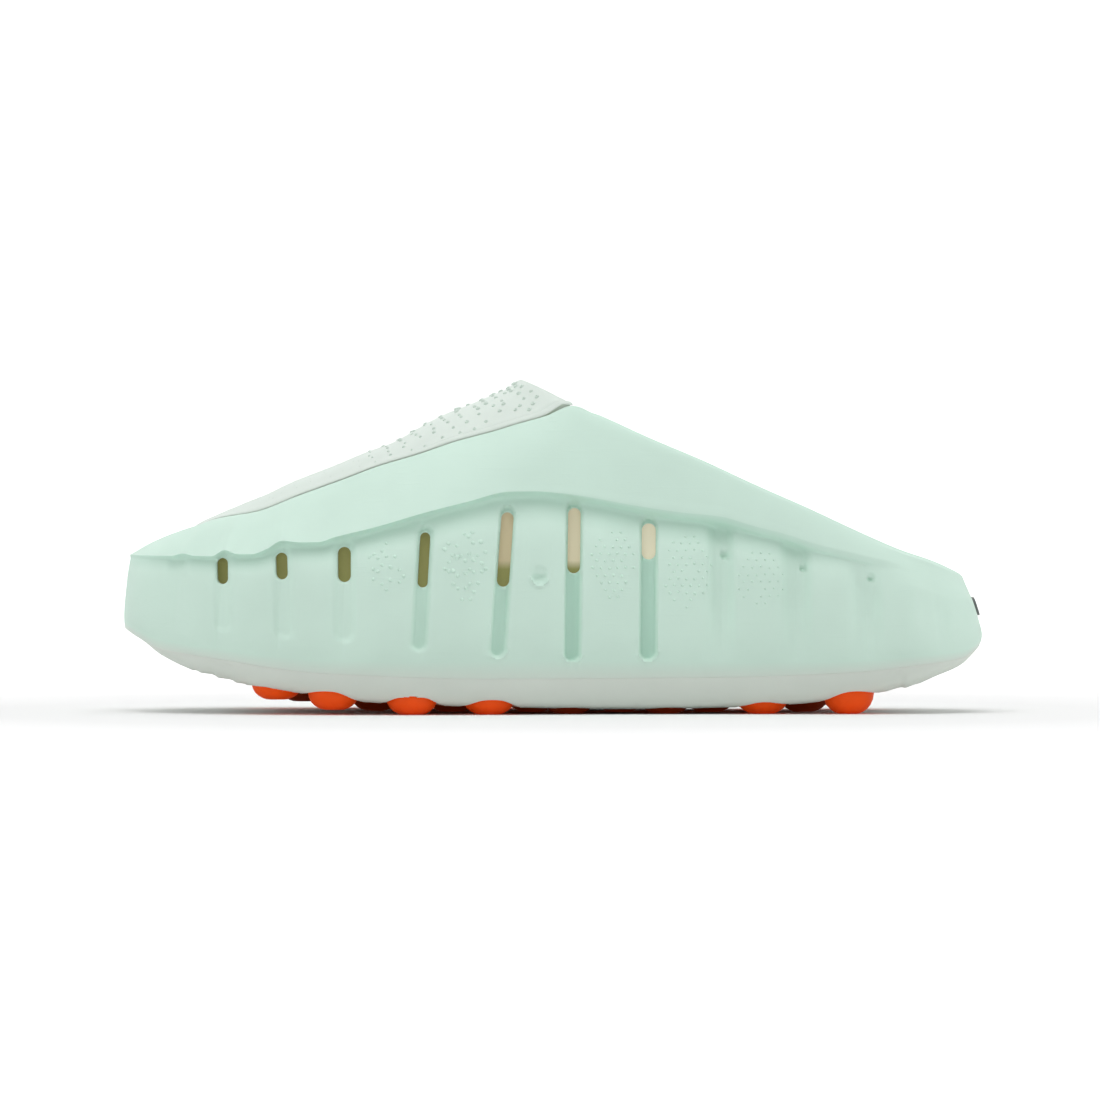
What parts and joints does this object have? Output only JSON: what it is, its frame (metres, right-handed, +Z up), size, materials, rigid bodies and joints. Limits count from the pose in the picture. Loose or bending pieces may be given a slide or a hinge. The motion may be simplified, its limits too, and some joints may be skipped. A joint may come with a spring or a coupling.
{
  "type": "sneaker mule",
  "caption": "Backless slip-on sneaker of moulded foam with a low heel cup, slotted fluted sides, a brow over them, a dotted tongue insert and round rubber studs under a rockered sole.",
  "frame": {"origin": "middle of the box round the shoe, on the floor that it stands on", "axes": "+Y from heel to toe, +X to the inner side of the foot, +Z up"},
  "size_m": [0.1144, 0.301, 0.1164],
  "materials": {
    "mint_foam": "pale mint moulded foam, smooth and satin matt",
    "sole_rubber": "off-white green-grey moulded foam rubber, matt",
    "tongue_foam": "paler mint-white foam with small raised dots",
    "stud_rubber": "bright orange-red rubber, satin",
    "insole_foam": "peach-tan foam sheet with a fine textile face",
    "badge_plastic": "dark grey-green moulded pill, plain"
  },
  "bodies": {
    "root": {"upper": "mint_foam", "sole": "sole_rubber", "tongue": "tongue_foam", "insole": "insole_foam", "heel_badge": "badge_plastic", "stud_outer_1": "stud_rubber", "stud_outer_2": "stud_rubber", "stud_outer_3": "stud_rubber", "stud_outer_4": "stud_rubber", "stud_outer_5": "stud_rubber", "stud_outer_6": "stud_rubber", "stud_outer_7": "stud_rubber", "stud_outer_8": "stud_rubber", "stud_middle_1": "stud_rubber", "stud_middle_2": "stud_rubber", "stud_middle_3": "stud_rubber", "stud_middle_4": "stud_rubber", "stud_middle_5": "stud_rubber", "stud_middle_6": "stud_rubber", "stud_middle_7": "stud_rubber", "stud_inner_1": "stud_rubber", "stud_inner_2": "stud_rubber", "stud_inner_3": "stud_rubber", "stud_inner_4": "stud_rubber", "stud_inner_5": "stud_rubber", "stud_inner_6": "stud_rubber", "stud_inner_7": "stud_rubber"}
  },
  "joints": []
}
